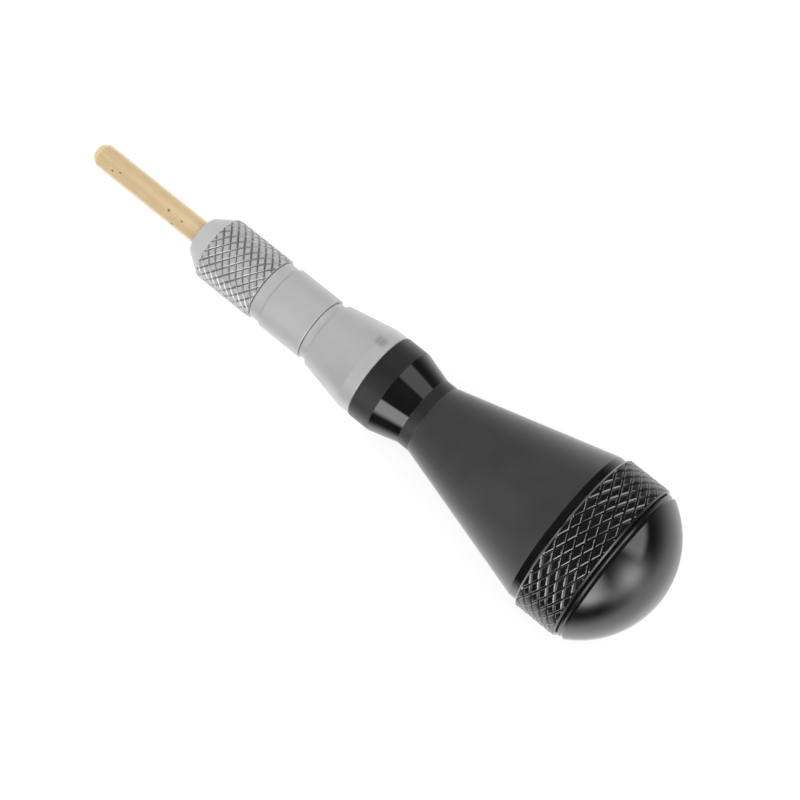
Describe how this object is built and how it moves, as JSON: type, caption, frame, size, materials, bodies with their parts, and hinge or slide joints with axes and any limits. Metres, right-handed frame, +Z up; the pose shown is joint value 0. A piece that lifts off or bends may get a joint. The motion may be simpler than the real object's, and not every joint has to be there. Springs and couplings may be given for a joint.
{
  "type": "spring bar tool",
  "caption": "Palm-push watch tool: a hollow cone grip with a knurled ring and a swivel dome, and a collet nose that holds a chamfered brass rod.",
  "frame": {"origin": "centre of the bounding box's base, on the surface that the tool lies on, resting on its knurled ring and its nose nut", "axes": "+X from the brass tip to the dome, level along the surface; +Z up, away from the surface; the turned axis lies in the XZ plane and rises about 6.7 degrees towards the dome"},
  "size_m": [0.0976, 0.024, 0.0245],
  "materials": {
    "brass": "satin drawn",
    "satin_aluminium": "fine satin",
    "black_gloss": "black anodised, polished",
    "black_matte": "black anodised, bead blasted",
    "steel": "bright machined",
    "cage_brass": "plain"
  },
  "bodies": {
    "handle": {"chuck_body": "satin_aluminium", "shank": "satin_aluminium", "tie_tube": "steel", "tie_washer": "steel", "tie_nut": "steel", "collar": "black_gloss", "grip": "black_matte", "knurl_ring": "black_gloss", "end_plug": "satin_aluminium", "pivot_bolt": "steel", "pivot_nut": "steel", "pivot_washer": "steel", "bearing_spacer": "steel", "inner_race": "steel"},
    "chuck": {"collet": "brass"},
    "nut": {"nose_nut": "satin_aluminium"},
    "rod": {"brass_rod": "brass"},
    "cage": {"bearing_cage": "cage_brass", "bearing_balls": "steel"},
    "palm": {"dome": "black_gloss", "outer_race": "steel", "circlip": "steel"}
  },
  "joints": [
    {"name": "collet_slide", "type": "slide", "parent": "handle", "child": "chuck", "axis": [-0.9932, 0, -0.1165], "range_m": [0, 0.001]},
    {"name": "nut_turn", "type": "hinge", "parent": "chuck", "child": "nut", "pos_m": [-0.02284, 0, 0.00518], "axis": [-0.9932, 0, -0.1165], "range_deg": [0, 720]},
    {"name": "rod_slide", "type": "slide", "parent": "chuck", "child": "rod", "axis": [0.9932, 0, 0.1165], "range_m": [-0.004, 0.014]},
    {"name": "dome_spin", "type": "hinge", "parent": "handle", "child": "palm", "pos_m": [0.04072, 0, 0.01264], "axis": [0.9932, 0, 0.1165], "continuous": true},
    {"name": "cage_spin", "type": "hinge", "parent": "handle", "child": "cage", "pos_m": [0.04072, 0, 0.01264], "axis": [0.9932, 0, 0.1165], "continuous": true}
  ],
  "couplings": [
    {"joint": "nut_turn", "follows": "collet_slide", "rad_per_m": 12566},
    {"joint": "cage_spin", "follows": "dome_spin", "ratio": 0.6111}
  ]
}
